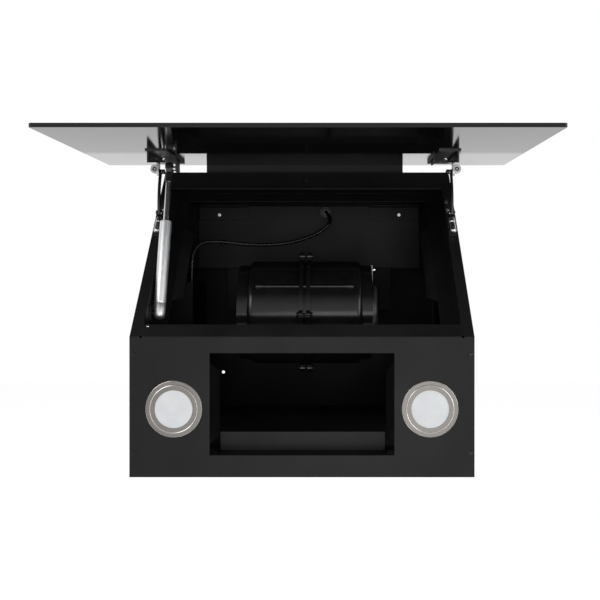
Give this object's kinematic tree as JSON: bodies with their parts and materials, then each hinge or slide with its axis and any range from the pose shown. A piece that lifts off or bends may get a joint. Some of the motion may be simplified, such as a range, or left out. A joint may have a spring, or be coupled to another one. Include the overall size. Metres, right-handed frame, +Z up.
{
  "type": "range hood",
  "caption": "Wall-hung chimney range hood with a slanted front, a black glass flap on lift hinges, held open by a gas strut, a blower inside and a round top outlet with back-draught flaps.",
  "frame": {"origin": "on the wall plane, in the middle of the four wall fixing holes", "axes": "+Z up, +Y into the wall, +X to the right as the cook sees the hood"},
  "size_m": [0.595, 0.5275, 0.4756],
  "materials": {
    "casing": "satin powder coat",
    "inner_sheet": "satin",
    "zinc_steel": "zinc plated",
    "damper": "matte",
    "bezel": "spun",
    "lens": "frosted",
    "lamp_can": "satin",
    "blower_shell": "satin",
    "impeller": "matte",
    "motor": "satin",
    "screws": "polished",
    "control_case": "fine grain",
    "gland": "satin",
    "cable": "satin",
    "hinge_plate": "satin",
    "hinge_arm": "gloss",
    "flap_glass": "gloss",
    "strut_tube": "satin",
    "strut_rod": "polished",
    "strut_end": "satin",
    "catch": "satin"
  },
  "bodies": {
    "hood": {"side_panel_left": "casing", "side_panel_right": "casing", "front_panel": "casing", "slope_frame": "casing", "top_plate": "casing", "back_panel": "casing", "floor_pan": "casing", "inner_liner": "inner_sheet", "hanger_plates": "inner_sheet", "rear_duct": "inner_sheet", "duct_box": "inner_sheet", "duct_lid": "inner_sheet", "wall_spacers": "zinc_steel", "motor_spider": "zinc_steel", "outlet_collar": "zinc_steel", "damper_pins": "zinc_steel", "strut_foot_bracket": "zinc_steel", "light_bezel_left": "bezel", "light_bezel_right": "bezel", "light_lens_left": "lens", "light_lens_right": "lens", "light_can_left": "lamp_can", "light_can_right": "lamp_can", "volute_left": "blower_shell", "volute_right": "blower_shell", "motor": "motor", "front_panel_screws": "screws", "blower_screws": "screws", "volute_bolts": "screws", "hinge_screws": "screws", "hinge_lower_pins": "screws", "control_box": "control_case", "control_cover": "control_case", "cable_gland": "gland", "cable": "cable", "hinge_base_left": "hinge_plate", "hinge_base_right": "hinge_plate", "hinge_stop_left": "hinge_plate", "hinge_stop_right": "hinge_plate", "top_catch": "catch"},
    "hinge_arms": {"hinge_arm_left": "hinge_arm", "hinge_arm_right": "hinge_arm"},
    "glass_flap": {"glass_panel": "flap_glass", "glass_bracket_left": "hinge_plate", "glass_bracket_right": "hinge_plate", "hinge_upper_pins": "screws", "strut_head_stud": "screws"},
    "strut_cylinder": {"strut_foot_fitting": "strut_end", "strut_tube": "strut_tube"},
    "strut_piston": {"strut_rod": "strut_rod", "strut_rod_end": "strut_end"},
    "blower_wheel": {"impeller": "impeller", "motor_shaft": "screws"},
    "damper_front": {"damper_flap_front": "damper"},
    "damper_rear": {"damper_flap_rear": "damper"}
  },
  "joints": [
    {"name": "arm_fold", "type": "hinge", "parent": "hood", "child": "hinge_arms", "pos_m": [0, -0.25281, 0.12302], "axis": [-1, 0, 0], "range_deg": [0, 31.58]},
    {"name": "glass_tilt", "type": "hinge", "parent": "hinge_arms", "child": "glass_flap", "pos_m": [0, -0.241, 0.1844], "axis": [1, 0, 0], "range_deg": [0, 77.7]},
    {"name": "strut_swing", "type": "hinge", "parent": "hood", "child": "strut_cylinder", "pos_m": [-0.192, -0.3424, -0.0167], "axis": [-1, 0, 0], "range_deg": [0, 14.6]},
    {"name": "strut_slide", "type": "slide", "parent": "strut_cylinder", "child": "strut_piston", "axis": [0, -0.3295, -0.9441], "range_m": [0, 0.0163]},
    {"name": "impeller_spin", "type": "hinge", "parent": "hood", "child": "blower_wheel", "pos_m": [0, -0.227, -0.0207], "axis": [1, 0, 0], "continuous": true},
    {"name": "damper_front_lift", "type": "hinge", "parent": "hood", "child": "damper_front", "pos_m": [0, -0.088, 0.2339], "axis": [-1, 0, 0], "range_deg": [0, 75]},
    {"name": "damper_rear_lift", "type": "hinge", "parent": "hood", "child": "damper_rear", "pos_m": [0, -0.08, 0.2339], "axis": [1, 0, 0], "range_deg": [0, 75]}
  ],
  "couplings": [
    {"joint": "glass_tilt", "follows": "arm_fold", "ratio": 2.4598},
    {"joint": "strut_swing", "follows": "arm_fold", "ratio": 0.4623},
    {"joint": "strut_slide", "follows": "arm_fold", "m_per_rad": 0.029569}
  ]
}
